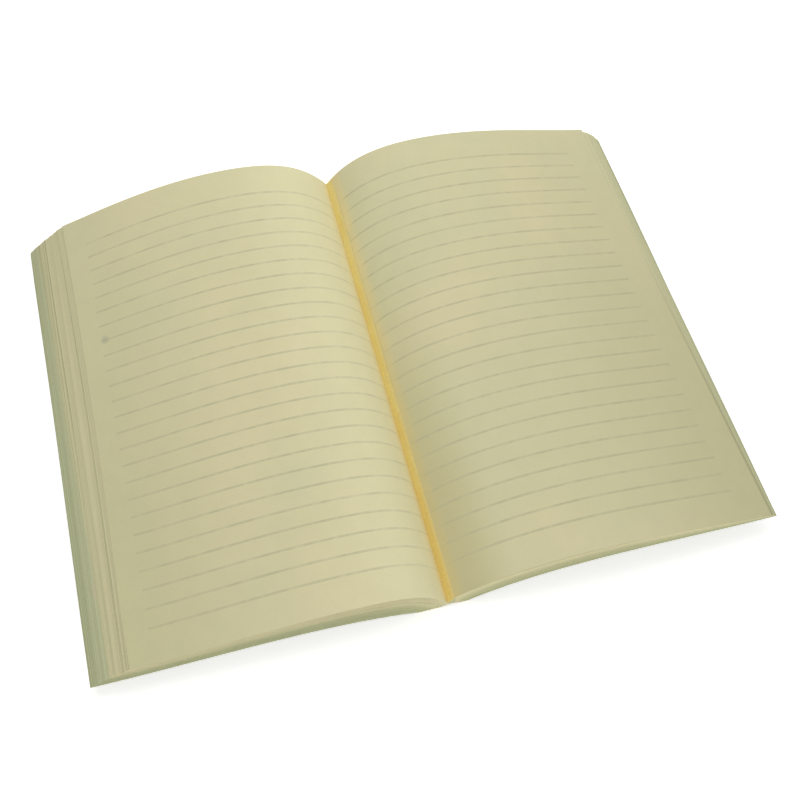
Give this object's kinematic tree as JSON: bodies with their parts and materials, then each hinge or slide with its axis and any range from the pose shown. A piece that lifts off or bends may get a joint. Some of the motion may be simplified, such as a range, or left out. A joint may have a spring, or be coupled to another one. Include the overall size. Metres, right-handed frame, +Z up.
{
  "type": "journal text block",
  "caption": "Coverless glued block of ruled journal paper lying open on its spine, with fanned fore-edges and amber binding adhesive in the gutter",
  "frame": {"origin": "on the table, under the middle of the block", "axes": "+X across the open pages to the right-hand page, +Y from the tail edge to the head edge, +Z up"},
  "size_m": [0.2824, 0.216, 0.0313],
  "materials": {
    "page_paper": "uncoated cream writing paper with faint grey-green ruled lines",
    "binding_glue": "amber hot-melt adhesive, slightly glossy"
  },
  "bodies": {
    "root": {"pages": "page_paper", "gutter_glue": "binding_glue", "spine_glue": "binding_glue"}
  },
  "joints": []
}
